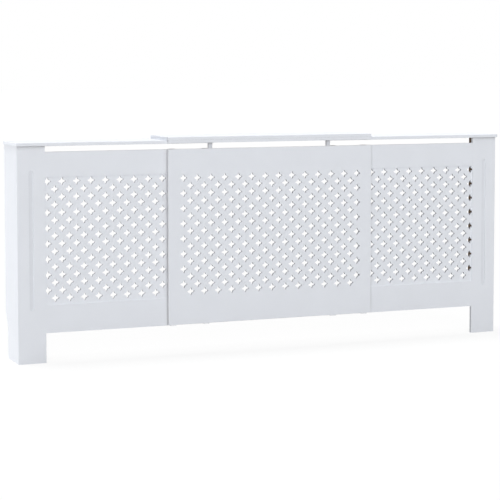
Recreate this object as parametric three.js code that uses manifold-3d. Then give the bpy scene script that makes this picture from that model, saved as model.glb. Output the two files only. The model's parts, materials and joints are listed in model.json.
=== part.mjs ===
// Extending radiator cover in painted MDF.
//
// A centre section stands in front of two wings that slide in behind it. Each wing is a fluted post
// and a side panel with a skirting notch, two long rails that run on behind the centre panel, and a
// perforated sheet let into the frame. The centre panel hangs on the wings' rails by sheet steel
// clips, and the centre shelf lies on the two side shelves with a lip in front of them.
//
// Millimetres. X runs along the cover, the front faces -Y and Z is up. The origin is on the floor,
// under the middle of the fully extended cover.

import * as THREE from 'three';
import { mergeVertices } from 'three/addons/utils/BufferGeometryUtils.js';
import Module from 'manifold-3d';

const wasm = await Module();
wasm.setup();

// ---- driving dimensions ------------------------------------------------------------------------

const OPEN_WIDTH = 2000; // over both side shelves, pulled right out
const HEIGHT = 820; // floor to the top of the centre shelf
const DEPTH = 200; // face of the centre panel to the wall

const CENTRE_WIDTH = 846; // centre panel, centre shelf and lip
const RAIL_LAP = 187; // rails and side shelves running in behind the centre section, pulled right out
const GRILLE_LAP = 10; // perforated sheet of a wing running in behind the centre panel

const BOARD = 12; // posts, rails and stiles
const SIDE_BOARD = 18; // side panels
const SHELF = 12;
const SHEET = 9; // perforated sheets, lip and shelf props

const SIDE_OVERHANG = 4; // side shelf past the side panel
const FRONT_OVERHANG = 9.5; // side shelf past the face of the post

const POST_WIDTH = 105;
const RAIL_BOTTOM = 110; // height of the cool air opening
const BOTTOM_RAIL_HEIGHT = 103.5;
const TOP_RAIL_HEIGHT = 92.5;
const WARM_AIR_GAP = 21.5; // top rail to side shelf
const STILE_WIDTH = 30;
const PANEL_LIFT = 3.5; // centre panel over the bottom edge of the rails
const LIP_HEIGHT = 11;

const SHEET_RECESS = 3; // sheet behind the face of its frame
const REBATE = 8; // frame lapping over the edge of the sheet

const FLUTE = { width: 16, depth: 3, fromFloor: 195, fromTop: 88.5 };
const NOTCH = { depth: 33, frontHeight: 121, rearHeight: 172 }; // clears a skirting board

const STAR = { tip: 14, waist: 7.9, pitchX: 55.6, pitchZ: 57.2 }; // waist: depth of the inner corners
const FIELD = { topMargin: 1.5, bottomMargin: 6, sideMargin: 45, hiddenTip: 5 }; // round the stars

const PROP = { width: 16, setBack: 2 }; // upright between the rail end and the side shelf
const BATTEN = 20; // square timber inside the corners
const SHELF_BATTEN_LENGTH = 90; // out of sight from the warm air gap
const GUIDE = { endSetBack: 35, clipMargin: 2.5 }; // timber behind the centre panel
const CLIP = { width: 22, gauge: 1.2, flange: 18, tail: 30, endSetBack: 12 };
const BRACKET = { height: 20, gauge: 2, leg: 40, hole: 2.5, sides: 8 };
const PEG = { radius: 3, length: 40, fromEdge: 20, sides: 6 };
const CORNER_PEG = { length: 30, inPost: 8, fromEnd: 200 };

// ---- clearances --------------------------------------------------------------------------------

const SHELF_CLEARANCE = 0.5; // centre shelf over the side shelves
const LIP_CLEARANCE = 2; // lip in front of the side shelves
const SLIDE_CLEARANCE = 0.5; // rails along their timber guide
const CLIP_CLEARANCE = 0.3; // rails inside the clips
const STOP_CLEARANCE = 1; // shelf props short of the inner clips, which stop the wings coming right out
const SHEET_CLEARANCE = 0.5; // perforated sheet in its rebate
const PEG_CLEARANCE = 0.3; // wooden pegs in their holes

// ---- places worked out from them ---------------------------------------------------------------

const HALF = OPEN_WIDTH / 2 - SIDE_OVERHANG; // outer face of a side panel
const REAR = DEPTH / 2;
const FACE = -DEPTH / 2; // face of the centre panel and lip
const PANEL_BACK = FACE + SHEET;
const WING_FACE = PANEL_BACK + LIP_CLEARANCE + FRONT_OVERHANG;
const WING_BACK = WING_FACE + BOARD;

const CENTRE_SHELF_BOTTOM = HEIGHT - SHELF;
const SIDE_SHELF_TOP = CENTRE_SHELF_BOTTOM - SHELF_CLEARANCE;
const WING_TOP = SIDE_SHELF_TOP - SHELF;
const RAIL_TOP = WING_TOP - WARM_AIR_GAP;

const PANEL_TOP = RAIL_TOP + CLIP_CLEARANCE + CLIP.gauge; // just hides the clips
const PANEL_BOTTOM = RAIL_BOTTOM + PANEL_LIFT;
const LIP_BOTTOM = CENTRE_SHELF_BOTTOM - LIP_HEIGHT;

// Along a wing, from the outer face of its side panel.
const PANEL_END = HALF - CENTRE_WIDTH / 2;
const WING_LENGTH = PANEL_END + RAIL_LAP;
const PROP_START = WING_LENGTH - PROP.setBack - PROP.width;
const OPENING = {
  outer: POST_WIDTH,
  inner: PANEL_END + GRILLE_LAP,
  bottom: RAIL_BOTTOM + BOTTOM_RAIL_HEIGHT,
  top: RAIL_TOP - TOP_RAIL_HEIGHT,
};

// ---- finishes ----------------------------------------------------------------------------------

const paint = () => new THREE.MeshStandardMaterial({ color: 0xe9ecf1, roughness: 0.5, metalness: 0 });
const timber = () => new THREE.MeshStandardMaterial({ color: 0xc9a878, roughness: 0.8, metalness: 0 });
const steel = () => new THREE.MeshStandardMaterial({ color: 0xb4b7ba, roughness: 0.35, metalness: 1 });

// ---- building blocks ---------------------------------------------------------------------------

const named = (name, geometry, material) => {
  const mesh = new THREE.Mesh(geometry, material);
  mesh.name = name;
  return mesh;
};

// A square-edged board between two corners, given in any order.
function board(name, [xa, ya, za], [xb, yb, zb], material = paint()) {
  const geometry = new THREE.BoxGeometry(Math.abs(xb - xa), Math.abs(yb - ya), Math.abs(zb - za));
  const mesh = named(name, geometry, material);
  mesh.position.set((xa + xb) / 2, (ya + yb) / 2, (za + zb) / 2);
  return mesh;
}

// A sheet that faces the front: its outline is drawn in X and Z, and its back face is at y = back.
function frontSheet(name, outline, thickness, back) {
  const geometry = new THREE.ExtrudeGeometry(outline, { depth: thickness, bevelEnabled: false });
  const mesh = named(name, geometry, paint());
  mesh.rotation.x = Math.PI / 2;
  mesh.position.y = back;
  return mesh;
}

// A profile drawn in Y and Z, carried along X from x = start.
const PROFILE_TURN = new THREE.Quaternion().setFromAxisAngle(
  new THREE.Vector3(1, 1, 1).normalize(),
  (2 * Math.PI) / 3,
);

function profileAlongX(name, outline, length, start, material) {
  const geometry = new THREE.ExtrudeGeometry(outline, { depth: length, bevelEnabled: false });
  const mesh = named(name, geometry, material);
  mesh.quaternion.copy(PROFILE_TURN);
  mesh.position.x = start;
  return mesh;
}

const polygon = (points) => new THREE.Shape(points.map(([a, b]) => new THREE.Vector2(a, b)));

function toSolid(geometry) {
  const bare = geometry.clone();
  bare.deleteAttribute('normal');
  bare.deleteAttribute('uv');
  const merged = mergeVertices(bare, 1e-4);
  return new wasm.Manifold(
    new wasm.Mesh({
      numProp: 3,
      vertProperties: new Float32Array(merged.attributes.position.array),
      triVerts: new Uint32Array(merged.index.array),
    }),
  );
}

function toGeometry(solid) {
  const result = solid.getMesh();
  const geometry = new THREE.BufferGeometry();
  geometry.setAttribute('position', new THREE.BufferAttribute(result.vertProperties, 3));
  geometry.setIndex(new THREE.BufferAttribute(result.triVerts, 1));
  return geometry;
}

// Cuts the tools, which are meshes in the same frame, out of the piece.
function cut(piece, ...tools) {
  piece.updateMatrix();
  const toPiece = piece.matrix.clone().invert();
  let solid = toSolid(piece.geometry);
  for (const tool of tools) {
    tool.updateMatrix();
    const geometry = tool.geometry.clone();
    geometry.applyMatrix4(toPiece.clone().multiply(tool.matrix));
    solid = solid.subtract(toSolid(geometry));
  }
  piece.geometry = toGeometry(solid);
}

// A wooden peg, glued into two pieces that meet. Both are drilled for it.
function peg(name, start, direction, length, pieces) {
  const along = new THREE.Vector3(...direction);
  const middle = new THREE.Vector3(...start).addScaledVector(along, length / 2);
  const rod = (radius, rodLength) => {
    const mesh = named(name, new THREE.CylinderGeometry(radius, radius, rodLength, PEG.sides), timber());
    mesh.quaternion.setFromUnitVectors(new THREE.Vector3(0, 1, 0), along);
    mesh.position.copy(middle);
    return mesh;
  };
  const drill = rod(PEG.radius + PEG_CLEARANCE, length + 2 * PEG_CLEARANCE);
  for (const piece of pieces) {
    cut(piece, drill);
  }
  return rod(PEG.radius, length);
}

// ---- star perforations -------------------------------------------------------------------------

// Four points and four inner corners. Without its waist a star keeps only the four points.
function starHole(x, z, withWaist) {
  const corners = [];
  for (let quarter = 0; quarter < 4; quarter += 1) {
    const angle = (quarter * Math.PI) / 2;
    corners.push([STAR.tip, angle]);
    if (withWaist) {
      corners.push([STAR.waist, angle + Math.PI / 4]);
    }
  }
  return new THREE.Path(
    corners.map(([radius, angle]) => {
      return new THREE.Vector2(x + radius * Math.cos(angle), z + radius * Math.sin(angle));
    }),
  );
}

// Rows of stars, every other row set over by half a pitch, down from the top of the opening.
function addStars(outline, firstX, columns, step, withWaist) {
  const firstZ = OPENING.top - FIELD.topMargin - STAR.tip;
  const lastZ = OPENING.bottom + FIELD.bottomMargin + STAR.tip;
  const rows = 2 * Math.floor((firstZ - lastZ + STAR.pitchZ / 2) / STAR.pitchZ);
  for (let row = 0; row < rows; row += 1) {
    const setOver = row % 2;
    for (let column = 0; column < columns - setOver; column += 1) {
      const x = firstX + step * STAR.pitchX * (column + setOver / 2);
      outline.holes.push(starHole(x, firstZ - (row * STAR.pitchZ) / 2, withWaist));
    }
  }
}

const columnsIn = (width) => Math.floor((width - 2 * STAR.tip) / STAR.pitchX) + 1;

// ---- centre section ----------------------------------------------------------------------------

function centrePanel() {
  const half = CENTRE_WIDTH / 2;
  const outline = polygon([
    [-half, PANEL_BOTTOM],
    [half, PANEL_BOTTOM],
    [half, PANEL_TOP],
    [-half, PANEL_TOP],
  ]);
  const columns = columnsIn(CENTRE_WIDTH - 2 * FIELD.sideMargin);
  addStars(outline, (-(columns - 1) * STAR.pitchX) / 2, columns, 1, true);
  return frontSheet('centre_panel', outline, SHEET, PANEL_BACK);
}

// A steel clip screwed behind the centre panel. It hooks over the outer edge of a sliding rail:
// up is 1 on a top rail and -1 on a bottom rail.
function guideClip(name, x, railEdge, up) {
  const inside = railEdge + up * CLIP_CLEARANCE;
  const outside = inside + up * CLIP.gauge;
  const webFront = WING_BACK + SLIDE_CLEARANCE;
  const outline = polygon([
    [PANEL_BACK, outside - up * CLIP.flange],
    [PANEL_BACK + CLIP.gauge, outside - up * CLIP.flange],
    [PANEL_BACK + CLIP.gauge, inside],
    [webFront, inside],
    [webFront, inside - up * CLIP.tail],
    [webFront + CLIP.gauge, inside - up * CLIP.tail],
    [webFront + CLIP.gauge, outside],
    [PANEL_BACK, outside],
  ]);
  return profileAlongX(name, outline, CLIP.width, x - CLIP.width / 2, steel());
}

// Timber glued behind the centre panel, which the rails slide along, between the clips' flanges
// and the edge of the star field.
function guideTimber(name, zNearClip, zNearStars) {
  const half = CENTRE_WIDTH / 2 - GUIDE.endSetBack;
  return board(
    name,
    [-half, PANEL_BACK, zNearClip],
    [half, WING_FACE - SLIDE_CLEARANCE, zNearStars],
    timber(),
  );
}

function centreSection() {
  const section = new THREE.Group();
  const half = CENTRE_WIDTH / 2;
  const flangeReach = CLIP.flange - CLIP.gauge - CLIP_CLEARANCE + GUIDE.clipMargin;
  section.add(
    centrePanel(),
    board('centre_shelf', [-half, FACE, CENTRE_SHELF_BOTTOM], [half, REAR, HEIGHT]),
    board('shelf_lip', [-half, FACE, LIP_BOTTOM], [half, PANEL_BACK, CENTRE_SHELF_BOTTOM]),
    guideTimber('upper_guide', RAIL_TOP - flangeReach, OPENING.top + flangeReach),
    guideTimber('lower_guide', RAIL_BOTTOM + flangeReach, OPENING.bottom - flangeReach),
  );
  const clipPlaces = {
    outer: half - CLIP.endSetBack - CLIP.width / 2,
    inner: HALF - PROP_START + STOP_CLEARANCE + CLIP.width / 2,
  };
  for (const [side, sign] of [['left', -1], ['right', 1]]) {
    for (const [place, x] of Object.entries(clipPlaces)) {
      section.add(
        guideClip(`${side}_${place}_top_clip`, sign * x, RAIL_TOP, 1),
        guideClip(`${side}_${place}_bottom_clip`, sign * x, RAIL_BOTTOM, -1),
      );
    }
  }
  return section;
}

// ---- wings -------------------------------------------------------------------------------------

// The flute is cut with a round-nosed cutter, so it is part of a cylinder with ball ends.
function fluteCutter(x) {
  const radius = ((FLUTE.width / 2) ** 2 + FLUTE.depth ** 2) / (2 * FLUTE.depth);
  const top = WING_TOP - FLUTE.fromTop;
  const run = top - FLUTE.fromFloor - FLUTE.width;
  const cutter = named('flute_cutter', new THREE.CapsuleGeometry(radius, run, 6, 20));
  cutter.rotation.x = Math.PI / 2;
  cutter.position.set(x, WING_FACE + FLUTE.depth - radius, (top + FLUTE.fromFloor) / 2);
  return cutter;
}

function sidePanel(name, x) {
  const outline = polygon([
    [WING_BACK, 0],
    [REAR - NOTCH.depth, 0],
    [REAR - NOTCH.depth, NOTCH.frontHeight],
    [REAR, NOTCH.rearHeight],
    [REAR, WING_TOP],
    [WING_BACK, WING_TOP],
  ]);
  return profileAlongX(name, outline, SIDE_BOARD, x, paint());
}

// A steel angle in the corner of a side panel and the wall, behind the top rail. at() gives X.
function wallBracket(name, at) {
  const front = REAR - BRACKET.gauge;
  const outline = polygon([
    [at(SIDE_BOARD), REAR - BRACKET.leg],
    [at(SIDE_BOARD + BRACKET.gauge), REAR - BRACKET.leg],
    [at(SIDE_BOARD + BRACKET.gauge), front],
    [at(SIDE_BOARD + BRACKET.leg), front],
    [at(SIDE_BOARD + BRACKET.leg), REAR],
    [at(SIDE_BOARD), REAR],
  ]);
  const geometry = new THREE.ExtrudeGeometry(outline, { depth: BRACKET.height, bevelEnabled: false });
  const bracket = named(name, geometry, steel());
  const middle = (OPENING.top + RAIL_TOP) / 2;
  bracket.position.z = middle - BRACKET.height / 2;
  const drill = (x, y, turn) => {
    const hole = new THREE.CylinderGeometry(BRACKET.hole, BRACKET.hole, BRACKET.leg, BRACKET.sides);
    const tool = named('drill', hole);
    tool.rotation.z = turn;
    tool.position.set(x, y, middle);
    return tool;
  };
  const halfLeg = BRACKET.leg / 2;
  cut(bracket, drill(at(SIDE_BOARD), REAR - halfLeg, Math.PI / 2), drill(at(SIDE_BOARD + halfLeg), REAR, 0));
  return bracket;
}

// side is -1 for the left wing and 1 for the right. Places along a wing are measured inwards from
// the outer face of its side panel.
function wing(label, side) {
  const at = (inwards) => side * (HALF - inwards);
  const piece = (name, from, to, ya, yb, za, zb, material) => {
    return board(`${label}_${name}`, [at(from), ya, za], [at(to), yb, zb], material);
  };

  const post = piece('post', 0, POST_WIDTH, WING_FACE, WING_BACK, 0, WING_TOP);
  const topRail = piece('top_rail', POST_WIDTH, WING_LENGTH, WING_FACE, WING_BACK, OPENING.top, RAIL_TOP);
  const bottomRail = piece(
    'bottom_rail',
    POST_WIDTH, WING_LENGTH,
    WING_FACE, WING_BACK,
    RAIL_BOTTOM, OPENING.bottom,
  );
  const stile = piece(
    'inner_stile',
    OPENING.inner, OPENING.inner + STILE_WIDTH,
    WING_FACE, WING_BACK,
    OPENING.bottom, OPENING.top,
  );
  const panel = sidePanel(`${label}_side_panel`, Math.min(at(0), at(SIDE_BOARD)));

  // One rebate runs round the back of the frame and takes the sheet flush.
  const edge = REBATE + SHEET_CLEARANCE;
  const seat = piece(
    'seat',
    OPENING.outer - edge, OPENING.inner + edge,
    WING_FACE + SHEET_RECESS, WING_BACK + BOARD,
    OPENING.bottom - edge, OPENING.top + edge,
  );
  cut(post, seat, fluteCutter(at(POST_WIDTH / 2)));
  cut(topRail, seat);
  cut(bottomRail, seat);
  cut(stile, seat);

  const sheetOutline = polygon([
    [at(OPENING.outer - REBATE), OPENING.bottom - REBATE],
    [at(OPENING.inner + REBATE), OPENING.bottom - REBATE],
    [at(OPENING.inner + REBATE), OPENING.top + REBATE],
    [at(OPENING.outer - REBATE), OPENING.top + REBATE],
  ]);
  const fieldStart = OPENING.outer - FIELD.hiddenTip;
  const columns = columnsIn(OPENING.inner - fieldStart);
  addStars(sheetOutline, at(fieldStart + STAR.tip), columns, -side, false);
  const grille = frontSheet(`${label}_grille`, sheetOutline, SHEET, WING_FACE + SHEET_RECESS + SHEET);

  const shelf = piece(
    'shelf',
    -SIDE_OVERHANG, WING_LENGTH,
    WING_FACE - FRONT_OVERHANG, REAR,
    WING_TOP, SIDE_SHELF_TOP,
  );
  const prop = piece(
    'shelf_prop',
    PROP_START, PROP_START + PROP.width,
    WING_FACE, WING_FACE + SHEET,
    RAIL_TOP, WING_TOP,
  );

  const cornerBatten = piece(
    'corner_batten',
    SIDE_BOARD, SIDE_BOARD + BATTEN,
    WING_BACK, WING_BACK + BATTEN,
    RAIL_BOTTOM, WING_TOP - BATTEN,
    timber(),
  );
  const shelfBatten = piece(
    'shelf_batten',
    SIDE_BOARD, SIDE_BOARD + BATTEN,
    WING_BACK, WING_BACK + SHELF_BATTEN_LENGTH,
    WING_TOP - BATTEN, WING_TOP,
    timber(),
  );

  const inBoard = (WING_FACE + WING_BACK) / 2;
  const pegs = [
    ['upper_rail_peg', topRail, RAIL_TOP - PEG.fromEdge],
    ['lower_rail_peg', topRail, OPENING.top + REBATE + PEG.fromEdge],
    ['upper_foot_rail_peg', bottomRail, OPENING.bottom - REBATE - PEG.fromEdge],
    ['lower_foot_rail_peg', bottomRail, RAIL_BOTTOM + PEG.fromEdge],
  ].map(([name, rail, z]) => {
    const start = [at(POST_WIDTH - PEG.length / 2), inBoard, z];
    return peg(`${label}_${name}`, start, [-side, 0, 0], PEG.length, [post, rail]);
  });
  const cornerPegs = [
    ['upper_corner_peg', WING_TOP - CORNER_PEG.fromEnd],
    ['lower_corner_peg', CORNER_PEG.fromEnd],
  ].map(([name, z]) => {
    const start = [at(SIDE_BOARD / 2), WING_BACK - CORNER_PEG.inPost, z];
    return peg(`${label}_${name}`, start, [0, 1, 0], CORNER_PEG.length, [post, panel]);
  });

  const section = new THREE.Group();
  section.add(post, panel, topRail, bottomRail, stile, grille, shelf, prop, cornerBatten, shelfBatten);
  section.add(wallBracket(`${label}_wall_bracket`, at), ...pegs, ...cornerPegs);
  return section;
}

// ---- the cover ---------------------------------------------------------------------------------

const group = new THREE.Group();
group.add(centreSection(), wing('left', -1), wing('right', 1));

export default group;
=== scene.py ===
"""Looks for an extending radiator cover in white painted fibreboard.

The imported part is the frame. Painted boards get eased edges and bare backs, the posts a finer
flute, the three perforated sheets round-pointed stars, the timber and the steel soft edges, and
the steel its screws. A plain pale stage is set round the cover. Metres, with X along the cover,
its face towards -Y and Z up.
"""

import json
import math

import bmesh
import bpy
from bpy.props import FloatProperty, FloatVectorProperty, IntProperty, PointerProperty
from bpy.types import Operator, Panel, PropertyGroup
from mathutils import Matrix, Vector


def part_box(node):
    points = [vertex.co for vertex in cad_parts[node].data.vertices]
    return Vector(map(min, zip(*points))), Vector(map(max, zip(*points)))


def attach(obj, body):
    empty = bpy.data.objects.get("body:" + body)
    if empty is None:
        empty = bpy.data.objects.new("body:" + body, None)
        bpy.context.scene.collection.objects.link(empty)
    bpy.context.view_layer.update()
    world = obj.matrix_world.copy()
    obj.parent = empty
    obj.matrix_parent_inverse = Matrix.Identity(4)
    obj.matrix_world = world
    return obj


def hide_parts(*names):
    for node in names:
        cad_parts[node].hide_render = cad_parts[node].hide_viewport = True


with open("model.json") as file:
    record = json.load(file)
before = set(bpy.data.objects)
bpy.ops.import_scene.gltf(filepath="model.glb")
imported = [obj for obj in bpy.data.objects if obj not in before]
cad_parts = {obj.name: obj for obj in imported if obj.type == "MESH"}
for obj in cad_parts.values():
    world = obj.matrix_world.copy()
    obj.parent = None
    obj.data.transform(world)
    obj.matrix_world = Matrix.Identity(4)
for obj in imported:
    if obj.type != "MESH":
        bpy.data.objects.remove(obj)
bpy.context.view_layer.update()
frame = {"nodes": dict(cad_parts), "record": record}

bl_info = {
    "name": "Extending Radiator Cover",
    "version": (1, 0, 0),
    "blender": (4, 5, 0),
    "location": "3D View > Sidebar > Radiator Cover",
    "description": "Dresses a white extending radiator cover with star-perforated sheets",
    "category": "Object",
}

MM = 0.001
SIDES = ("left", "right")
INWARDS = {"left": 1, "right": -1}  # along X
CLIPS = [
    f"{side}_{place}_{edge}_clip"
    for side in SIDES
    for place in ("outer", "inner")
    for edge in ("top", "bottom")
]
RAIL_PEGS = ("upper_rail", "lower_rail", "upper_foot_rail", "lower_foot_rail")
CORNER_PEGS = ("upper_corner", "lower_corner")

BARE, ROUTED = 1, 2  # materials of a painted board, after its paint

JOIN = 0.01 * MM  # corners closer than this are one corner
FLAT = math.radians(1)  # faces that meet flatter than this are one face
SOFT = math.radians(35)  # edges flatter than this are shaded as one curve
SQUARE = math.radians(60)  # edges sharper than this are eased
EASE_STEPS = 3  # flats over an eased edge
TOWARDS = 0.9  # a face looks a way if its normal goes at least this far that way
ASIDE = 0.1  # and it looks aside if its normal goes less than this far either way


# ---- sizes and colours -------------------------------------------------------------------------


def length(name, description, millimetres):
    """A length setting."""
    return FloatProperty(
        name=name, description=description, default=millimetres * MM, unit="LENGTH"
    )


def count(name, description, default, least=1):
    """A whole number setting."""
    return IntProperty(name=name, description=description, default=default, min=least)


def colour(name, description, default):
    """A colour setting, in linear values."""
    return FloatVectorProperty(
        name=name,
        description=description,
        subtype="COLOR",
        size=3,
        min=0,
        max=1,
        default=default,
    )


class RadiatorCoverBoards(PropertyGroup):
    """Edges of the boards, the timber and the steel"""

    ease: length("Eased Edge", "Width rubbed off the free edges of shelves and panels", 0.8)
    joint_ease: length(
        "Joint Edge", "Width rubbed off the wing frames, whose joints are filled and painted", 0.3
    )
    steel_ease: length("Steel Edge", "Width of the soft edge on folded steel", 0.25)
    shortest: length(
        "Shortest Eased Edge",
        "Edges shorter than this, such as the rims of peg holes, stay sharp",
        6,
    )
    shortest_fold: length(
        "Shortest Soft Fold", "Edges of steel shorter than this, such as holes, stay sharp", 3
    )


class RadiatorCoverFlute(PropertyGroup):
    """The round-ended flute down the middle of each post"""

    depth: length("Depth", "How deep the cutter goes", 3)
    rim: length("Rim", "Width rubbed off the rim", 0.4)
    corner: length("Corner", "Radius of the cutter's corner", 0.8)
    half_width: length("Half Width", "Middle of the flute to its rim", 8)
    from_floor: length("From Floor", "Floor to the lower end of the flute", 195)
    from_top: length("From Top", "Top of the post to the upper end of the flute", 88.5)
    rim_steps: count("Rim Steps", "Flats over the rim", 3)
    corner_steps: count("Corner Steps", "Flats round the corner", 4)
    end_steps: count("End Steps", "Flats round each end", 20, least=4)


class RadiatorCoverStars(PropertyGroup):
    """The star cut-outs of the perforated sheets"""

    reach: length("Reach", "Middle of a star to the end of a point", 14)
    waist: length("Waist", "Middle of a star to an inner corner", 7.8)
    cutter: length("Cutter Radius", "Radius of the cutter that leaves each point round", 2.6)
    tip_steps: count("Tip Steps", "Flats round the end of each point", 3)
    pitch_x: length("Pitch Across", "Star to star along a row", 55.6)
    pitch_z: length("Pitch Up", "Star to star up a column", 57.2)
    rows: count("Rows", "Rows of full length, each with a shorter row under it", 8)
    centre_columns: count(
        "Centre Columns", "Stars in a full row of the centre panel", 14, least=2
    )
    wing_columns: count("Wing Columns", "Stars in a full row of a wing's sheet", 9, least=2)
    top_margin: length("Top Margin", "Top rail to the highest points", 1.5)
    hidden_tip: length(
        "Hidden Tip", "How far the first stars of a wing run in behind its post", 5
    )


class RadiatorCoverScrews(PropertyGroup):
    """Pan-head screws of the clips and brackets"""

    head_radius: length("Head Radius", "Rim of the head", 3.6)
    crown_radius: length("Crown Radius", "Flat of the head", 2.3)
    head_height: length("Head Height", "Stands off the steel", 1.6)
    slot_length: length("Slot Length", "Each arm of the cross", 3.6)
    slot_width: length("Slot Width", "Across an arm", 0.8)
    slot_depth: length("Slot Depth", "Into the head", 0.9)
    spacing: length("Spacing", "Screw to screw on a clip", 12)
    flange: length("Clip Flange", "Height of a clip's fixing leg", 18)
    clip_gauge: length("Clip Gauge", "Thickness of a clip", 1.2)
    bracket_gauge: length("Bracket Gauge", "Thickness of a bracket", 2)


class RadiatorCoverFinish(PropertyGroup):
    """Colours, how dull the paint dries on routed fibreboard, and its painted shade there"""

    paint: colour("Paint", "Cool white satin paint", (0.80, 0.825, 0.875))
    # Painted shade: the walls of the cut-outs are darkened by this share to stand for the shade in
    # them.
    painted_shade_in_cut_outs: FloatProperty(
        name="Cut-out Paint",
        description="Brightness of the paint that soaks into the walls of the cut-outs",
        default=0.75,
    )
    # Painted shade: the flutes are darkened by this share to stand for the shade in them.
    painted_shade_in_flutes: FloatProperty(
        name="Flute Paint",
        description="Brightness of the paint that soaks into the flutes",
        default=0.93,
    )
    board: colour(
        "Bare Board", "Fibreboard left bare on its hidden faces", (0.150, 0.100, 0.068)
    )
    timber: colour("Timber", "Planed softwood", (0.56, 0.38, 0.20))
    steel: colour("Steel", "Bright zinc plate", (0.76, 0.77, 0.79))


class RadiatorCoverStage(PropertyGroup):
    """Camera and floor"""

    camera: FloatVectorProperty(
        name="Camera",
        description="Where the camera stands",
        subtype="TRANSLATION",
        size=3,
        default=(-2.5355, -5.9545, 1.0988),
    )
    turn: FloatProperty(
        name="Turn",
        description="Camera turned to the right of straight on",
        subtype="ANGLE",
        default=math.radians(22.651),
    )
    tilt: FloatProperty(
        name="Tilt",
        description="Camera tilted down",
        subtype="ANGLE",
        default=math.radians(4.032),
    )
    lens: FloatProperty(name="Lens", description="Focal length", default=120.25, unit="CAMERA")
    shift: FloatProperty(name="Shift", description="Lens shifted up", default=-0.14)
    ambient: FloatProperty(
        name="Ambient", description="Strength of the even light", default=0.10
    )
    floor: FloatProperty(
        name="Floor White", description="Share of plain white in the floor", default=0.9
    )


SETTINGS = {
    "radiator_cover_boards": RadiatorCoverBoards,
    "radiator_cover_flute": RadiatorCoverFlute,
    "radiator_cover_stars": RadiatorCoverStars,
    "radiator_cover_screws": RadiatorCoverScrews,
    "radiator_cover_finish": RadiatorCoverFinish,
    "radiator_cover_stage": RadiatorCoverStage,
}


# ---- node helpers ------------------------------------------------------------------------------

# Sockets of a mix node that holds colours. Its sockets for other kinds have the same names.
COLOUR_A, COLOUR_B, COLOUR_RESULT = 6, 7, 2


def add_node(tree, kind, inputs=None, **settings):
    """A node with its settings, and its inputs set to values or linked from sockets."""
    node = tree.nodes.new(kind)
    for name, value in settings.items():
        setattr(node, name, value)
    for name, value in (inputs or {}).items():
        if isinstance(value, bpy.types.NodeSocket):
            tree.links.new(value, node.inputs[name])
        else:
            node.inputs[name].default_value = value
    return node


def add_sockets(tree, kind, *names, output=False):
    """Gives a tree inputs, or outputs, of one kind."""
    for name in names:
        tree.interface.new_socket(name, in_out="OUTPUT" if output else "INPUT", socket_type=kind)


def math_node(tree, operation, a, b):
    return add_node(tree, "ShaderNodeMath", {0: a, 1: b}, operation=operation).outputs[0]


def vector_node(tree, **parts):
    return add_node(tree, "ShaderNodeCombineXYZ", parts).outputs["Vector"]


def mixed_value(tree, share, low, high):
    values = {"Factor": share, "A": low, "B": high}
    return add_node(tree, "ShaderNodeMix", values).outputs["Result"]


def mixed_colour(tree, share, low, high):
    values = {"Factor": share, COLOUR_A: low, COLOUR_B: high}
    return add_node(tree, "ShaderNodeMix", values, data_type="RGBA").outputs[COLOUR_RESULT]


def join(tree, *geometries):
    node = tree.nodes.new("GeometryNodeJoinGeometry")
    for geometry in geometries:
        tree.links.new(geometry, node.inputs["Geometry"])
    return node.outputs["Geometry"]


def moved(tree, geometry, **where):
    inputs = {"Geometry": geometry, **where}
    return add_node(tree, "GeometryNodeTransform", inputs).outputs["Geometry"]


def merged(tree, geometry):
    inputs = {"Geometry": geometry, "Distance": JOIN}
    return add_node(tree, "GeometryNodeMergeByDistance", inputs).outputs["Geometry"]


def placed_on(tree, points, instance, **how):
    """A real copy of the instance on each point."""
    inputs = {"Points": points, "Instance": instance, **how}
    copies = add_node(tree, "GeometryNodeInstanceOnPoints", inputs).outputs["Instances"]
    return realized(tree, copies)


def realized(tree, geometry):
    node = add_node(tree, "GeometryNodeRealizeInstances", {"Geometry": geometry})
    return node.outputs["Geometry"]


def coated(tree, geometry, material, **where):
    inputs = {"Geometry": geometry, "Material": material, **where}
    return add_node(tree, "GeometryNodeSetMaterial", inputs).outputs["Geometry"]


def modifier_tree(name, inputs):
    """A geometry nodes tree, with its inputs given as the names of each kind of socket."""
    tree = bpy.data.node_groups.new(name, "GeometryNodeTree")
    tree.is_modifier = True
    add_sockets(tree, "NodeSocketGeometry", "Geometry", output=True)
    for kind, names in inputs.items():
        add_sockets(tree, kind, *names)
    return tree


def set_inputs(modifier, values):
    """Sets a modifier's inputs by their names in its tree."""
    items = modifier.node_group.interface.items_tree
    identifiers = {item.name: item.identifier for item in items}
    for name, value in values.items():
        modifier[identifiers[name]] = value


def made_by_modifier(name, seed_mesh, kind, prepare):
    """What one modifier makes of a seed mesh, as plain data. prepare() sets the modifier up."""
    holder = bpy.data.objects.new(name, seed_mesh)
    bpy.context.scene.collection.objects.link(holder)
    modifier = holder.modifiers.new(name, kind)
    prepare(modifier)
    bpy.context.view_layer.update()
    depsgraph = bpy.context.evaluated_depsgraph_get()
    mesh = bpy.data.meshes.new_from_object(holder.evaluated_get(depsgraph))
    holder.modifiers.remove(modifier)
    bpy.data.objects.remove(holder)
    bpy.data.meshes.remove(seed_mesh)
    if not mesh.polygons:
        raise RuntimeError(f"{name} came out empty")
    mesh.name = name
    return mesh


def grown_mesh(name, seed_mesh, tree, values):
    """The mesh that a geometry nodes tree grows from a seed mesh."""

    def prepare(modifier):
        modifier.node_group = tree
        set_inputs(modifier, values)

    return made_by_modifier(name, seed_mesh, "NODES", prepare)


def level_shading(name, mesh):
    """The same mesh, shaded true on the flats and bent only over the eased edges."""

    def prepare(modifier):
        modifier.mode = "FACE_AREA"
        modifier.keep_sharp = True

    return made_by_modifier(name, mesh, "WEIGHTED_NORMAL", prepare)


# ---- finishes ----------------------------------------------------------------------------------

GRAIN = 0.06  # how far the grain draws out the timber's texture, as a share of its scale


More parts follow.
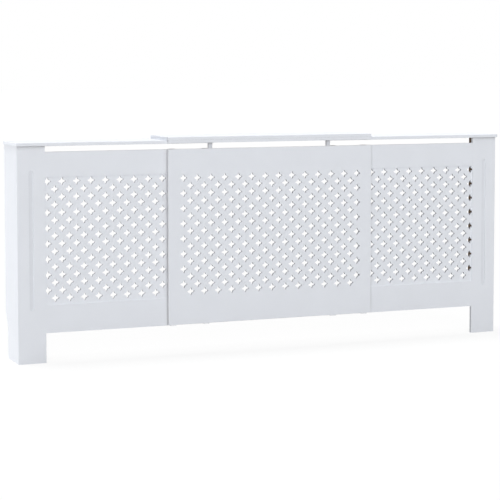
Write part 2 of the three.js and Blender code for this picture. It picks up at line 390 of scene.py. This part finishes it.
def noise(tree, place, scale, detail, roughness):
    inputs = {"Vector": place, "Scale": scale, "Detail": detail, "Roughness": roughness}
    return add_node(tree, "ShaderNodeTexNoise", inputs).outputs["Fac"]


def surface_group():
    """Two colours mixed by coarse and fine noise, with a roughness and height to go with them."""
    name = "Mottled Surface"
    if name in bpy.data.node_groups:
        return bpy.data.node_groups[name]
    tree = bpy.data.node_groups.new(name, "ShaderNodeTree")
    add_sockets(tree, "NodeSocketVector", "Vector")
    add_sockets(tree, "NodeSocketColor", "Light Colour", "Dark Colour")
    add_sockets(tree, "NodeSocketFloat", "Coarse Scale", "Fine Scale", "Fine Share")
    add_sockets(tree, "NodeSocketFloat", "Smooth Roughness", "Rough Roughness")
    add_sockets(tree, "NodeSocketColor", "Colour", output=True)
    add_sockets(tree, "NodeSocketFloat", "Roughness", "Height", output=True)
    given = tree.nodes.new("NodeGroupInput").outputs
    coarse = noise(tree, given["Vector"], given["Coarse Scale"], detail=3.0, roughness=0.5)
    fine = noise(tree, given["Vector"], given["Fine Scale"], detail=2.0, roughness=0.6)
    mask = add_node(
        tree,
        "ShaderNodeMapRange",
        {
            "Value": mixed_value(tree, given["Fine Share"], coarse, fine),
            "From Min": 0.3,
            "From Max": 0.7,
        },
        interpolation_type="SMOOTHSTEP",
    ).outputs["Result"]
    mottled = mixed_colour(tree, mask, given["Dark Colour"], given["Light Colour"])
    roughness = mixed_value(tree, mask, given["Rough Roughness"], given["Smooth Roughness"])
    put = tree.nodes.new("NodeGroupOutput").inputs
    tree.links.new(mottled, put["Colour"])
    tree.links.new(roughness, put["Roughness"])
    tree.links.new(fine, put["Height"])
    return tree


def shade(base, share):
    """A colour made lighter or darker, and opaque."""
    return (base[0] * share, base[1] * share, base[2] * share, 1.0)


def finish_material(name, surface, bump, relief, stretch=(1.0, 1.0, 1.0), metallic=0.0):
    """A material whose colour, roughness and bump come from the mottled surface group."""
    if name in bpy.data.materials:
        return bpy.data.materials[name]
    material = bpy.data.materials.new(name)
    material.use_nodes = True
    tree = material.node_tree
    tree.nodes.clear()
    place = add_node(tree, "ShaderNodeTexCoord").outputs["Object"]
    stretched = add_node(tree, "ShaderNodeMapping", {"Vector": place, "Scale": stretch})
    inputs = {"Vector": stretched.outputs["Vector"], **surface}
    group = add_node(tree, "ShaderNodeGroup", inputs, node_tree=surface_group())
    bumps = add_node(
        tree,
        "ShaderNodeBump",
        {"Strength": bump, "Distance": relief, "Height": group.outputs["Height"]},
    )
    shader = add_node(
        tree,
        "ShaderNodeBsdfPrincipled",
        {
            "Base Color": group.outputs["Colour"],
            "Roughness": group.outputs["Roughness"],
            "Normal": bumps.outputs["Normal"],
            "Metallic": metallic,
        },
    )
    add_node(tree, "ShaderNodeOutputMaterial", {"Surface": shader.outputs["BSDF"]})
    return material


def paint_material():
    paint = bpy.context.scene.radiator_cover_finish.paint
    surface = {
        "Light Colour": shade(paint, 1.01),
        "Dark Colour": shade(paint, 0.985),
        "Coarse Scale": 9.0,
        "Fine Scale": 700.0,
        "Fine Share": 0.35,
        "Smooth Roughness": 0.50,
        "Rough Roughness": 0.54,
    }
    return finish_material("satin_paint", surface, bump=0.12, relief=0.04 * MM)


def routed_paint_with_painted_shade(name, share):
    """Paint on routed fibreboard, rougher where its open fibres drink it in, darker as painted
    shade.
    """
    paint = bpy.context.scene.radiator_cover_finish.paint
    surface = {
        "Light Colour": shade(paint, 1.02 * share),
        "Dark Colour": shade(paint, 0.97 * share),
        "Coarse Scale": 40.0,
        "Fine Scale": 900.0,
        "Fine Share": 0.6,
        "Smooth Roughness": 0.65,
        "Rough Roughness": 0.8,
    }
    return finish_material(name, surface, bump=0.3, relief=0.06 * MM)


def board_material():
    board = bpy.context.scene.radiator_cover_finish.board
    surface = {
        "Light Colour": shade(board, 1.25),
        "Dark Colour": shade(board, 0.75),
        "Coarse Scale": 30.0,
        "Fine Scale": 900.0,
        "Fine Share": 0.7,
        "Smooth Roughness": 0.75,
        "Rough Roughness": 0.95,
    }
    return finish_material("bare_fibreboard", surface, bump=0.4, relief=0.08 * MM)


def timber_material(name, grain):
    """Softwood whose grain runs along one axis, given as a stretch of its texture."""
    timber = bpy.context.scene.radiator_cover_finish.timber
    surface = {
        "Light Colour": shade(timber, 1.12),
        "Dark Colour": shade(timber, 0.72),
        "Coarse Scale": 60.0,
        "Fine Scale": 420.0,
        "Fine Share": 0.4,
        "Smooth Roughness": 0.55,
        "Rough Roughness": 0.75,
    }
    return finish_material(name, surface, bump=0.3, relief=0.1 * MM, stretch=grain)


def steel_material():
    steel = bpy.context.scene.radiator_cover_finish.steel
    surface = {
        "Light Colour": shade(steel, 1.08),
        "Dark Colour": shade(steel, 0.85),
        "Coarse Scale": 120.0,
        "Fine Scale": 2500.0,
        "Fine Share": 0.3,
        "Smooth Roughness": 0.26,
        "Rough Roughness": 0.42,
    }
    return finish_material("zinc_plate", surface, bump=0.08, relief=0.02 * MM, metallic=1.0)


# ---- pieces ------------------------------------------------------------------------------------


def body_of(node):
    for body, nodes in frame["record"]["behaviour"]["bodies"].items():
        if node in nodes:
            return body
    raise RuntimeError(f"{node} is in no body")


def add_piece(name, mesh, body, nodes=()):
    """Links a finished mesh, lets it ride on its body and stand for its CAD nodes."""
    piece = bpy.data.objects.new(name, mesh)
    bpy.context.scene.collection.objects.link(piece)
    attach(piece, body)
    if nodes:
        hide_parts(*nodes)
    return piece


def solid_of(node):
    """A CAD node as one closed skin of flat faces."""
    solid = bmesh.new()
    solid.from_mesh(frame["nodes"][node].data)
    bmesh.ops.remove_doubles(solid, verts=solid.verts, dist=JOIN)
    bmesh.ops.dissolve_limit(solid, angle_limit=FLAT, verts=solid.verts, edges=solid.edges)
    return solid


def ease_edges(solid, edges, width):
    """Rounds edges off. The new faces take the first material slot."""
    bmesh.ops.bevel(
        solid,
        geom=edges,
        offset=width,
        offset_type="OFFSET",
        segments=EASE_STEPS,
        profile=0.5,
        affect="EDGES",
        clamp_overlap=True,
    )


def free_edges(solid, shortest):
    """Square outward edges that are long enough to be eased."""
    return [
        edge
        for edge in solid.edges
        if len(edge.link_faces) == 2
        and edge.is_convex
        and edge.calc_face_angle() > SQUARE
        and edge.calc_length() > shortest
    ]


def finished_mesh(name, solid, materials, bare=None):
    """Turns a solid into a mesh. The faces that bare() picks get the second material."""
    for edge in solid.edges:
        edge.smooth = len(edge.link_faces) == 2 and edge.calc_face_angle() < SOFT
    for face in solid.faces:
        face.smooth = True
        if bare and bare(face.normal):
            face.material_index = BARE
    mesh = bpy.data.meshes.new(name)
    solid.to_mesh(mesh)
    solid.free()
    for material in materials:
        mesh.materials.append(material)
    return level_shading(name, mesh)


def flute_profile(flute):
    """Reach and depth, from the eased rim down the side and round the corner to the floor."""
    profile = []
    for step in range(flute.rim_steps + 1):
        angle = math.pi / 2 * step / flute.rim_steps
        reach = flute.half_width + flute.rim * (1 - math.sin(angle))
        profile.append((reach, flute.rim * (1 - math.cos(angle))))
    for step in range(flute.corner_steps + 1):
        angle = math.pi / 2 * step / flute.corner_steps
        reach = flute.half_width - flute.corner * (1 - math.cos(angle))
        profile.append((reach, flute.depth - flute.corner * (1 - math.sin(angle))))
    profile.append((0.0, flute.depth))
    return profile


def coarse_skin(solid, flute, middle, front):
    """The front face of a post, and the coarse flute in it."""
    skin = []
    for face in solid.faces:
        deepest = max(corner.co.y for corner in face.verts)
        widest = max(abs(corner.co.x - middle) for corner in face.verts)
        on_face = deepest < front + JOIN
        narrow = widest < flute.half_width + flute.rim
        in_flute = narrow and deepest < front + flute.depth + JOIN
        if face.normal.y < -ASIDE and (on_face or in_flute):
            skin.append(face)
    return skin


def flute_ring(solid, ends, steps, middle, y, reach):
    """A round-ended loop of corners. Each end has the height of its middle and its first angle."""
    ring = []
    for height, start in ends:
        for turn in range(steps + 1):
            angle = start + math.pi * turn / steps
            place = (middle + reach * math.cos(angle), y, height + reach * math.sin(angle))
            ring.append(solid.verts.new(place))
    return ring


def cut_flute(solid, middle):
    """Cuts a fine flute in a post's face, in place of the coarse one."""
    flute = bpy.context.scene.radiator_cover_flute
    front = min(corner.co.y for corner in solid.verts)
    top = max(corner.co.z for corner in solid.verts) - flute.from_top
    skin = coarse_skin(solid, flute, middle, front)
    bmesh.ops.delete(solid, geom=skin, context="FACES")
    outline = [edge for edge in solid.edges if len(edge.link_faces) == 1]
    ends = ((top - flute.half_width, 0.0), (flute.from_floor + flute.half_width, math.pi))
    rings = [
        flute_ring(solid, ends, flute.end_steps, middle, front + depth, reach)
        for reach, depth in flute_profile(flute)
    ]
    for outer, inner in zip(rings, rings[1:]):
        for turn, corner in enumerate(outer):
            face = solid.faces.new((outer[turn - 1], corner, inner[turn], inner[turn - 1]))
            # The flute's faces take the routed paint, darkened as painted shade.
            face.material_index = ROUTED
    rim = [
        solid.edges.get((rings[0][turn - 1], corner)) for turn, corner in enumerate(rings[0])
    ]
    bmesh.ops.triangle_fill(solid, use_beauty=True, edges=outline + rim)
    bmesh.ops.remove_doubles(solid, verts=solid.verts, dist=JOIN)
    bmesh.ops.recalc_face_normals(solid, faces=solid.faces)


def eased_board(node, width, bare=None, fluted=False):
    """A painted board with eased edges in place of a CAD node, bare where it doesn't show."""
    scene = bpy.context.scene
    materials = [paint_material(), board_material()]
    solid = solid_of(node)
    ease_edges(solid, free_edges(solid, scene.radiator_cover_boards.shortest), width)
    if fluted:
        low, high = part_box(node)
        cut_flute(solid, (low.x + high.x) / 2)
        # The flute's paint is darkened by this share as painted shade.
        share = scene.radiator_cover_finish.painted_shade_in_flutes
        materials.append(routed_paint_with_painted_shade("flute_paint_with_painted_shade", share))
    mesh = finished_mesh(f"{node}_board", solid, materials, bare)
    return add_piece(f"{node}_board", mesh, body_of(node), [node])


def looks_back(normal):
    return normal.y > TOWARDS


def looks_down(normal):
    return normal.z < -TOWARDS


def looks_inwards(side):
    """Tells which normals look from one side towards the middle of the cover."""
    return lambda normal: normal.x * INWARDS[side] > TOWARDS


class RADIATOR_COVER_OT_frames(Operator):
    """Posts, rails, inner stiles and side panels of both wings"""

    bl_idname = "radiator_cover.frames"
    bl_label = "Wing Frames"

    def execute(self, context):
        ease = context.scene.radiator_cover_boards.joint_ease
        for side in SIDES:
            eased_board(f"{side}_post", ease, looks_back, fluted=True)
            for part in ("top_rail", "bottom_rail", "inner_stile"):
                eased_board(f"{side}_{part}", ease, looks_back)
            eased_board(f"{side}_side_panel", ease, looks_inwards(side))
        return {"FINISHED"}


class RADIATOR_COVER_OT_shelves(Operator):
    """Side shelves and their props, the centre shelf and its lip"""

    bl_idname = "radiator_cover.shelves"
    bl_label = "Shelves"

    def execute(self, context):
        boards = context.scene.radiator_cover_boards
        for side in SIDES:
            eased_board(f"{side}_shelf", boards.ease, looks_down)
            eased_board(f"{side}_shelf_prop", boards.joint_ease)
        eased_board("centre_shelf", boards.ease, looks_down)
        eased_board("shelf_lip", boards.joint_ease, looks_back)
        return {"FINISHED"}


# ---- perforated sheets -------------------------------------------------------------------------

STAR_POINTS = 4
SHEET_INPUTS = {
    "NodeSocketVector": ("Sheet Middle", "Field Middle", "Back"),
    "NodeSocketFloat": (
        "Width",
        "Height",
        "Thickness",
        "Pitch Across",
        "Pitch Up",
        "Apex Radius",
        "Waist Radius",
        "Cutter Radius",
    ),
    "NodeSocketInt": ("Columns", "Rows", "Tip Steps"),
    "NodeSocketMaterial": ("Paint", "Bare Board"),
}


def round_star(tree, given):
    """Outline of a star, with the end of each point rounded by the cutter."""
    star = add_node(
        tree,
        "GeometryNodeCurveStar",
        {
            "Points": STAR_POINTS,
            "Inner Radius": given["Waist Radius"],
            "Outer Radius": given["Apex Radius"],
        },
    ).outputs
    radius = math_node(tree, "MULTIPLY", star["Outer Points"], given["Cutter Radius"])
    inputs = {"Curve": star["Curve"], "Radius": radius, "Count": given["Tip Steps"]}
    return add_node(tree, "GeometryNodeFilletCurve", inputs, mode="POLY").outputs["Curve"]


def star_rows(tree, given, columns):
    """Points for every other row of stars, round the origin."""
    gaps_across = math_node(tree, "SUBTRACT", columns, 1.0)
    gaps_up = math_node(tree, "SUBTRACT", given["Rows"], 1.0)
    inputs = {
        "Size X": math_node(tree, "MULTIPLY", gaps_across, given["Pitch Across"]),
        "Size Y": math_node(tree, "MULTIPLY", gaps_up, given["Pitch Up"]),
        "Vertices X": columns,
        "Vertices Y": given["Rows"],
    }
    return add_node(tree, "GeometryNodeMeshGrid", inputs).outputs["Mesh"]


def star_places(tree, given):
    """Points for all stars, the shorter rows half a pitch under the full ones."""
    full_rows = star_rows(tree, given, given["Columns"])
    short_rows = star_rows(tree, given, math_node(tree, "SUBTRACT", given["Columns"], 1.0))
    half_drop = vector_node(tree, Y=math_node(tree, "MULTIPLY", given["Pitch Up"], -0.5))
    rows = join(tree, full_rows, moved(tree, short_rows, Translation=half_drop))
    return moved(tree, rows, Translation=given["Field Middle"])


def star_sheet_tree():
    """A sheet with rows of stars cut through it, drawn flat, thickened and stood upright."""
    tree = modifier_tree("Star Sheet", SHEET_INPUTS)
    given = tree.nodes.new("NodeGroupInput").outputs
    cut_outs = placed_on(tree, star_places(tree, given), round_star(tree, given))
    rim = add_node(
        tree,
        "GeometryNodeCurvePrimitiveQuadrilateral",
        {"Width": given["Width"], "Height": given["Height"]},
    ).outputs["Curve"]
    outlines = join(tree, moved(tree, rim, Translation=given["Sheet Middle"]), cut_outs)
    fill = add_node(tree, "GeometryNodeFillCurve", {"Curve": outlines}, mode="TRIANGLES")
    back = merged(tree, fill.outputs["Mesh"])
    raised = add_node(
        tree,
        "GeometryNodeExtrudeMesh",
        {"Mesh": back, "Offset Scale": given["Thickness"], "Individual": False},
        mode="FACES",
    ).outputs["Mesh"]
    turned = add_node(tree, "GeometryNodeFlipFaces", {"Mesh": back}).outputs["Mesh"]
    closed = merged(tree, join(tree, raised, turned))
    quarter_turn = (math.pi / 2, 0.0, 0.0)
    upright = moved(tree, closed, Translation=given["Back"], Rotation=quarter_turn)
    painted = coated(tree, realized(tree, upright), given["Paint"])
    normal = add_node(tree, "GeometryNodeInputNormal").outputs["Normal"]
    direction = add_node(tree, "ShaderNodeSeparateXYZ", {"Vector": normal}).outputs
    behind = math_node(tree, "GREATER_THAN", direction["Y"], TOWARDS)
    bare = coated(tree, painted, given["Bare Board"], Selection=behind)
    tree.links.new(bare, tree.nodes.new("NodeGroupOutput").inputs["Geometry"])
    return tree


def apex_radius(stars):
    """Where the flanks of a point would meet, so that the cutter's round end comes to the reach."""
    seat = stars.reach - stars.cutter  # middle of the cutter at the end of a point
    corner = stars.waist / math.sqrt(2)
    run = seat - corner
    slope = math.acos(stars.cutter / math.hypot(run, corner)) - math.atan2(run, corner)
    return seat + stars.cutter / math.sin(slope)


def ease_rim(solid, low, high, width):
    """Eases the outer edges of a sheet, which run from one of its corners to another."""

    def at_corner(end):
        beside = min(end.co.x - low.x, high.x - end.co.x)
        above = min(end.co.z - low.z, high.z - end.co.z)
        return beside < JOIN and above < JOIN

    edges = [edge for edge in solid.edges if all(at_corner(end) for end in edge.verts)]
    ease_edges(solid, edges, width)


def star_sheet(tree, node, field_middle_x, columns, ease):
    """One perforated sheet, in place of its CAD node."""
    scene = bpy.context.scene
    stars = scene.radiator_cover_stars
    low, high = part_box(node)
    opening_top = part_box("left_top_rail")[0].z
    first_row = opening_top - stars.top_margin - stars.reach
    field_middle_z = first_row - (stars.rows - 1) * stars.pitch_z / 2
    values = {
        "Sheet Middle": ((low.x + high.x) / 2, (low.z + high.z) / 2, 0.0),
        "Field Middle": (field_middle_x, field_middle_z, 0.0),
        "Back": (0.0, high.y, 0.0),
        "Width": high.x - low.x,
        "Height": high.z - low.z,
        "Thickness": high.y - low.y,
        "Pitch Across": stars.pitch_x,
        "Pitch Up": stars.pitch_z,
        "Apex Radius": apex_radius(stars),
        "Waist Radius": stars.waist,
        "Cutter Radius": stars.cutter,
        "Columns": columns,
        "Rows": stars.rows,
        "Tip Steps": stars.tip_steps,
        "Paint": paint_material(),
        "Bare Board": board_material(),
    }
    name = f"{node}_sheet"
    mesh = grown_mesh(name, bpy.data.meshes.new(f"{name}_seed"), tree, values)
    solid = bmesh.new()
    solid.from_mesh(mesh)
    ease_rim(solid, low, high, ease)
    rim_width = scene.radiator_cover_boards.shortest
    # The tree's mesh has an empty slot, which the eased rim takes, then its paint and its board.
    routed = len(mesh.materials)
    for face in solid.faces:
        middle = face.calc_center_median()
        beside = min(middle.x - low.x, high.x - middle.x)
        above = min(middle.z - low.z, high.z - middle.z)
        # The walls of the cut-outs take the routed paint, darkened as painted shade.
        if abs(face.normal.y) < ASIDE and min(beside, above) > rim_width:
            face.material_index = routed
    painted_shade_in_cut_outs = scene.radiator_cover_finish.painted_shade_in_cut_outs
    mesh.materials.append(routed_paint_with_painted_shade("cut_out_paint_with_painted_shade", painted_shade_in_cut_outs))
    solid.to_mesh(mesh)
    solid.free()
    return add_piece(name, mesh, body_of(node), [node])


class RADIATOR_COVER_OT_star_sheets(Operator):
    """The centre panel and the perforated sheets of both wings"""

    bl_idname = "radiator_cover.star_sheets"
    bl_label = "Star Sheets"

    def execute(self, context):
        stars = context.scene.radiator_cover_stars
        boards = context.scene.radiator_cover_boards
        columns = stars.wing_columns
        tree = star_sheet_tree()
        star_sheet(tree, "centre_panel", 0.0, stars.centre_columns, boards.ease)
        half_field = (columns - 1) * stars.pitch_x / 2
        for side in SIDES:
            inwards = INWARDS[side]
            low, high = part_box(f"{side}_post")
            post_edge = high.x if inwards > 0 else low.x
            first = post_edge + inwards * (stars.reach - stars.hidden_tip)
            middle = first + inwards * half_field
            star_sheet(tree, f"{side}_grille", middle, columns, boards.joint_ease)
        return {"FINISHED"}


# ---- timber, steel and screws ------------------------------------------------------------------

HEAD_SIDES = 20  # flats round a screw head
SCREW_INPUTS = {
    "NodeSocketGeometry": ("Geometry",),
    "NodeSocketFloat": (
        "Head Radius",
        "Crown Radius",
        "Head Height",
        "Slot Length",
        "Slot Width",
        "Slot Depth",
    ),
    "NodeSocketMaterial": ("Steel",),
}


def dressed(node, name, width, shortest, material):
    """A bare piece with soft edges in place of a CAD node."""
    solid = solid_of(node)
    ease_edges(solid, free_edges(solid, shortest), width)
    mesh = finished_mesh(name, solid, (material,))
    return add_piece(name, mesh, body_of(node), [node])


class RADIATOR_COVER_OT_timbers(Operator):
    """Guides behind the centre panel, battens in the wings and the pegs of their joints"""

    bl_idname = "radiator_cover.timbers"
    bl_label = "Timbers"

    def execute(self, context):
        boards = context.scene.radiator_cover_boards
        along = timber_material("softwood_along", (GRAIN, 1.0, 1.0))
        upright = timber_material("softwood_upright", (1.0, 1.0, GRAIN))
        inwards = timber_material("softwood_inwards", (1.0, GRAIN, 1.0))
        timbers = {"upper_guide": along, "lower_guide": along}
        for side in SIDES:
            timbers[f"{side}_corner_batten"] = upright
            timbers[f"{side}_shelf_batten"] = inwards
        for node, grain in timbers.items():
            dressed(node, f"{node}_timber", boards.ease, boards.shortest, grain)
        for side in SIDES:
            for pegs, grain in ((RAIL_PEGS, along), (CORNER_PEGS, inwards)):
                for peg in pegs:
                    for slot in frame["nodes"][f"{side}_{peg}_peg"].material_slots:
                        slot.material = grain
        return {"FINISHED"}


class RADIATOR_COVER_OT_steelwork(Operator):
    """Clips that hold the centre panel on the rails, and the wall brackets"""

    bl_idname = "radiator_cover.steelwork"
    bl_label = "Steelwork"

    def execute(self, context):
        boards = context.scene.radiator_cover_boards
        steel = steel_material()
        for node in (*CLIPS, *(f"{side}_wall_bracket" for side in SIDES)):
            name = f"{node}_steel"
            dressed(node, name, boards.steel_ease, boards.shortest_fold, steel)
        return {"FINISHED"}


def screw_tree():
    """Pan heads with a cross slot, one on each seed point, each facing the way its point says."""
    tree = modifier_tree("Pan Head Screws", SCREW_INPUTS)
    given = tree.nodes.new("NodeGroupInput").outputs
    head = add_node(
        tree,
        "GeometryNodeMeshCone",
        {
            "Vertices": HEAD_SIDES,
            "Side Segments": 1,
            "Radius Bottom": given["Head Radius"],
            "Radius Top": given["Crown Radius"],
            "Depth": given["Head Height"],
        },
        fill_type="NGON",
    )
    slotted = add_node(
        tree,
        "GeometryNodeMeshBoolean",
        {"Mesh 1": head.outputs["Mesh"]},
        operation="DIFFERENCE",
        solver="EXACT",
    )
    # Each arm is a block centred on the crown, so only its lower half cuts.
    deep = math_node(tree, "MULTIPLY", given["Slot Depth"], 2.0)
    crown = vector_node(tree, Z=given["Head Height"])
    long, narrow = given["Slot Length"], given["Slot Width"]
    for along, across in ((long, narrow), (narrow, long)):
        size = vector_node(tree, X=along, Y=across, Z=deep)
        arm = add_node(tree, "GeometryNodeMeshCube", {"Size": size}).outputs["Mesh"]
        tree.links.new(moved(tree, arm, Translation=crown), slotted.inputs["Mesh 2"])
    facing = add_node(
        tree,
        "GeometryNodeInputNamedAttribute",
        {"Name": "facing"},
        data_type="FLOAT_VECTOR",
    ).outputs["Attribute"]
    turned = add_node(tree, "FunctionNodeAlignRotationToVector", {"Vector": facing}, axis="Z")
    rotation = turned.outputs["Rotation"]
    heads = placed_on(tree, given["Geometry"], slotted.outputs["Mesh"], Rotation=rotation)
    plated = coated(tree, heads, given["Steel"])
    tree.links.new(plated, tree.nodes.new("NodeGroupOutput").inputs["Geometry"])
    return tree


def screws(tree, name, places, body):
    """Screw heads at (point, facing) places, as one mesh that rides on a body."""
    sizes = bpy.context.scene.radiator_cover_screws
    seed = bpy.data.meshes.new(f"{name}_seed")
    seed.from_pydata([point for point, _facing in places], [], [])
    facing = seed.attributes.new("facing", "FLOAT_VECTOR", "POINT")
    for entry, (_point, direction) in zip(facing.data, places):
        entry.vector = direction
    values = {
        "Head Radius": sizes.head_radius,
        "Crown Radius": sizes.crown_radius,
        "Head Height": sizes.head_height,
        "Slot Length": sizes.slot_length,
        "Slot Width": sizes.slot_width,
        "Slot Depth": sizes.slot_depth,
        "Steel": steel_material(),
    }
    return add_piece(name, grown_mesh(name, seed, tree, values), body)


class RADIATOR_COVER_OT_screws(Operator):
    """Screws of the clips and of the wall brackets"""

    bl_idname = "radiator_cover.screws"
    bl_label = "Screws"

    def execute(self, context):
        sizes = context.scene.radiator_cover_screws
        tree = screw_tree()
        backwards = (0.0, 1.0, 0.0)
        places = []
        for clip in CLIPS:
            low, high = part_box(clip)
            z = high.z - sizes.flange / 2 if "top" in clip else low.z + sizes.flange / 2
            for reach in (-0.5, 0.5):
                x = (low.x + high.x) / 2 + reach * sizes.spacing
                places.append(((x, low.y + sizes.clip_gauge, z), backwards))
        screws(tree, "clip_screws", places, "centre")
        for side in SIDES:
            low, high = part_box(f"{side}_wall_bracket")
            inwards = INWARDS[side]
            leg_face = (low.x if inwards > 0 else high.x) + inwards * sizes.bracket_gauge
            point = (leg_face, (low.y + high.y) / 2, (low.z + high.z) / 2)
            place = (point, (inwards, 0.0, 0.0))
            screws(tree, f"{side}_bracket_screw", [place], f"{side}_wing")
        return {"FINISHED"}


# ---- stage -------------------------------------------------------------------------------------

# A lamp's share is what it adds to a white face square on to it. Suns shine along a direction,
# and the low lamp from its place to its target.
SUNS = {
    "overhead": {"direction": (0.12, -0.20, -1.0), "share": 0.79, "angle": math.radians(20)},
    "front_left": {"direction": (0.34, 0.94, -0.06), "share": 0.98, "angle": math.radians(50)},
    "high_front": {"direction": (0.10, 0.60, -0.75), "share": 0.18, "angle": math.radians(20)},
}
LOW_LAMP = {"place": (-4.0, 0.25, 0.40), "target": (-1.0, 0.0, 0.40), "size": 0.4, "share": 0.53}
WHITE = (1.0, 1.0, 1.0, 1.0)
EVEN_LIGHT = (0.985, 0.99, 1.0, 1.0)
FLOOR_LIT = (0.25, 0.25, 0.25, 1.0)  # for light on surfaces, so that little comes back up from it
FLOOR_SEEN = (0.95, 0.95, 0.95, 1.0)
FLOOR_REACH = 60.0
FARTHEST_SEEN = 200.0
SENSOR_WIDTH = 36.0  # millimetres, as Blender takes it


def seen_directly(tree):
    """1 for what is seen straight, mirrored or through glass, and 0 for light on surfaces."""
    path = add_node(tree, "ShaderNodeLightPath").outputs
    total = math_node(tree, "ADD", path["Is Camera Ray"], path["Is Glossy Ray"])
    total = math_node(tree, "ADD", total, path["Is Transmission Ray"])
    return math_node(tree, "MINIMUM", total, 1.0)


def mixed_shader(tree, share, low, high):
    inputs = {"Fac": share, 1: low.outputs[0], 2: high.outputs[0]}
    return add_node(tree, "ShaderNodeMixShader", inputs).outputs["Shader"]


def floor_material(white_share):
    """Pale floor that stays white to the camera and keeps a soft shadow."""
    material = bpy.data.materials.new("studio_floor")
    material.use_nodes = True
    tree = material.node_tree
    tree.nodes.clear()
    seen = seen_directly(tree)
    pale = mixed_colour(tree, seen, FLOOR_LIT, FLOOR_SEEN)
    matt = add_node(tree, "ShaderNodeBsdfDiffuse", {"Color": pale})
    white = add_node(tree, "ShaderNodeEmission", {"Color": WHITE, "Strength": 1.0})
    share = math_node(tree, "MULTIPLY", seen, white_share)
    surface = mixed_shader(tree, share, matt, white)
    add_node(tree, "ShaderNodeOutputMaterial", {"Surface": surface})
    material.cycles.emission_sampling = "NONE"
    return material


def studio_world(ambient):
    """Even light on the cover in front of a white backdrop."""
    world = bpy.data.worlds.new("studio")
    world.use_nodes = True
    tree = world.node_tree
    tree.nodes.clear()
    light = add_node(tree, "ShaderNodeBackground", {"Color": EVEN_LIGHT, "Strength": ambient})
    backdrop = add_node(tree, "ShaderNodeBackground", {"Color": WHITE, "Strength": 1.0})
    surface = mixed_shader(tree, seen_directly(tree), light, backdrop)
    add_node(tree, "ShaderNodeOutputWorld", {"Surface": surface})
    world.cycles.sampling_method = "NONE"
    return world


def add_floor(scene, white_share):
    mesh = bpy.data.meshes.new("studio_floor")
    turns = ((-1, -1), (1, -1), (1, 1), (-1, 1))
    corners = [(x * FLOOR_REACH, y * FLOOR_REACH, 0.0) for x, y in turns]
    mesh.from_pydata(corners, [], [range(len(corners))])
    mesh.materials.append(floor_material(white_share))
    floor = bpy.data.objects.new("studio_floor", mesh)
    scene.collection.objects.link(floor)


def add_lamp(scene, name, kind, direction, **settings):
    """A lamp that shines along a direction."""
    light = bpy.data.lights.new(name, kind)
    for setting, value in settings.items():
        setattr(light, setting, value)
    lamp = bpy.data.objects.new(name, light)
    lamp.rotation_mode = "QUATERNION"
    lamp.rotation_quaternion = Vector(direction).to_track_quat("-Z", "Y")
    scene.collection.objects.link(lamp)
    return lamp


def add_lamps(scene):
    """The suns, and the low lamp.

    A white face shows 1/pi of the light that falls on it. A lamp's face sends 1/pi of its power
    straight ahead, and this thins with the square of the distance.
    """
    for name, sun in SUNS.items():
        energy = math.pi * sun["share"]
        add_lamp(scene, name, "SUN", sun["direction"], energy=energy, angle=sun["angle"])
    place = Vector(LOW_LAMP["place"])
    beam = Vector(LOW_LAMP["target"]) - place
    energy = math.pi**2 * LOW_LAMP["share"] * beam.length_squared
    low_lamp = add_lamp(scene, "low_left", "AREA", beam, size=LOW_LAMP["size"], energy=energy)
    low_lamp.location = place
    low_lamp.visible_camera = False


def add_camera(scene, stage):
    lens = bpy.data.cameras.new("camera")
    lens.lens = stage.lens
    lens.sensor_width = SENSOR_WIDTH
    lens.shift_y = stage.shift
    lens.clip_end = FARTHEST_SEEN
    camera = bpy.data.objects.new("camera", lens)
    camera.location = stage.camera
    camera.rotation_euler = (math.pi / 2 - stage.tilt, 0.0, -stage.turn)
    scene.collection.objects.link(camera)
    scene.camera = camera


class RADIATOR_COVER_OT_stage(Operator):
    """Pale floor, white backdrop, soft lamps and the camera"""

    bl_idname = "radiator_cover.stage"
    bl_label = "Stage"

    def execute(self, context):
        scene = context.scene
        stage = scene.radiator_cover_stage
        scene.view_settings.view_transform = "Standard"
        scene.world = studio_world(stage.ambient)
        add_floor(scene, stage.floor)
        add_lamps(scene)
        add_camera(scene, stage)
        return {"FINISHED"}


# ---- the add-on --------------------------------------------------------------------------------


STEPS = (
    RADIATOR_COVER_OT_frames,
    RADIATOR_COVER_OT_shelves,
    RADIATOR_COVER_OT_star_sheets,
    RADIATOR_COVER_OT_timbers,
    RADIATOR_COVER_OT_steelwork,
    RADIATOR_COVER_OT_screws,
    RADIATOR_COVER_OT_stage,
)


class RADIATOR_COVER_PT_sidebar(Panel):
    """Buttons for each group of pieces and for the stage, and their settings"""

    bl_idname = "RADIATOR_COVER_PT_sidebar"
    bl_label = "Radiator Cover"
    bl_space_type = "VIEW_3D"
    bl_region_type = "UI"
    bl_category = "Radiator Cover"

    def draw(self, context):
        for step in STEPS:
            self.layout.operator(step.bl_idname)
        for name, group in SETTINGS.items():
            box = self.layout.box()
            for setting in group.__annotations__:
                box.prop(getattr(context.scene, name), setting)


def register():
    for group in SETTINGS.values():
        bpy.utils.register_class(group)
    for name, group in SETTINGS.items():
        setattr(bpy.types.Scene, name, PointerProperty(type=group))
    for step in STEPS:
        bpy.utils.register_class(step)
    bpy.utils.register_class(RADIATOR_COVER_PT_sidebar)


def unregister():
    bpy.utils.unregister_class(RADIATOR_COVER_PT_sidebar)
    for step in reversed(STEPS):
        bpy.utils.unregister_class(step)
    for name in SETTINGS:
        delattr(bpy.types.Scene, name)
    for group in reversed(SETTINGS.values()):
        bpy.utils.unregister_class(group)


def main():
    register()
    for step in STEPS:
        area, name = step.bl_idname.split(".")
        getattr(getattr(bpy.ops, area), name)()


if __name__ == "__main__":
    main()
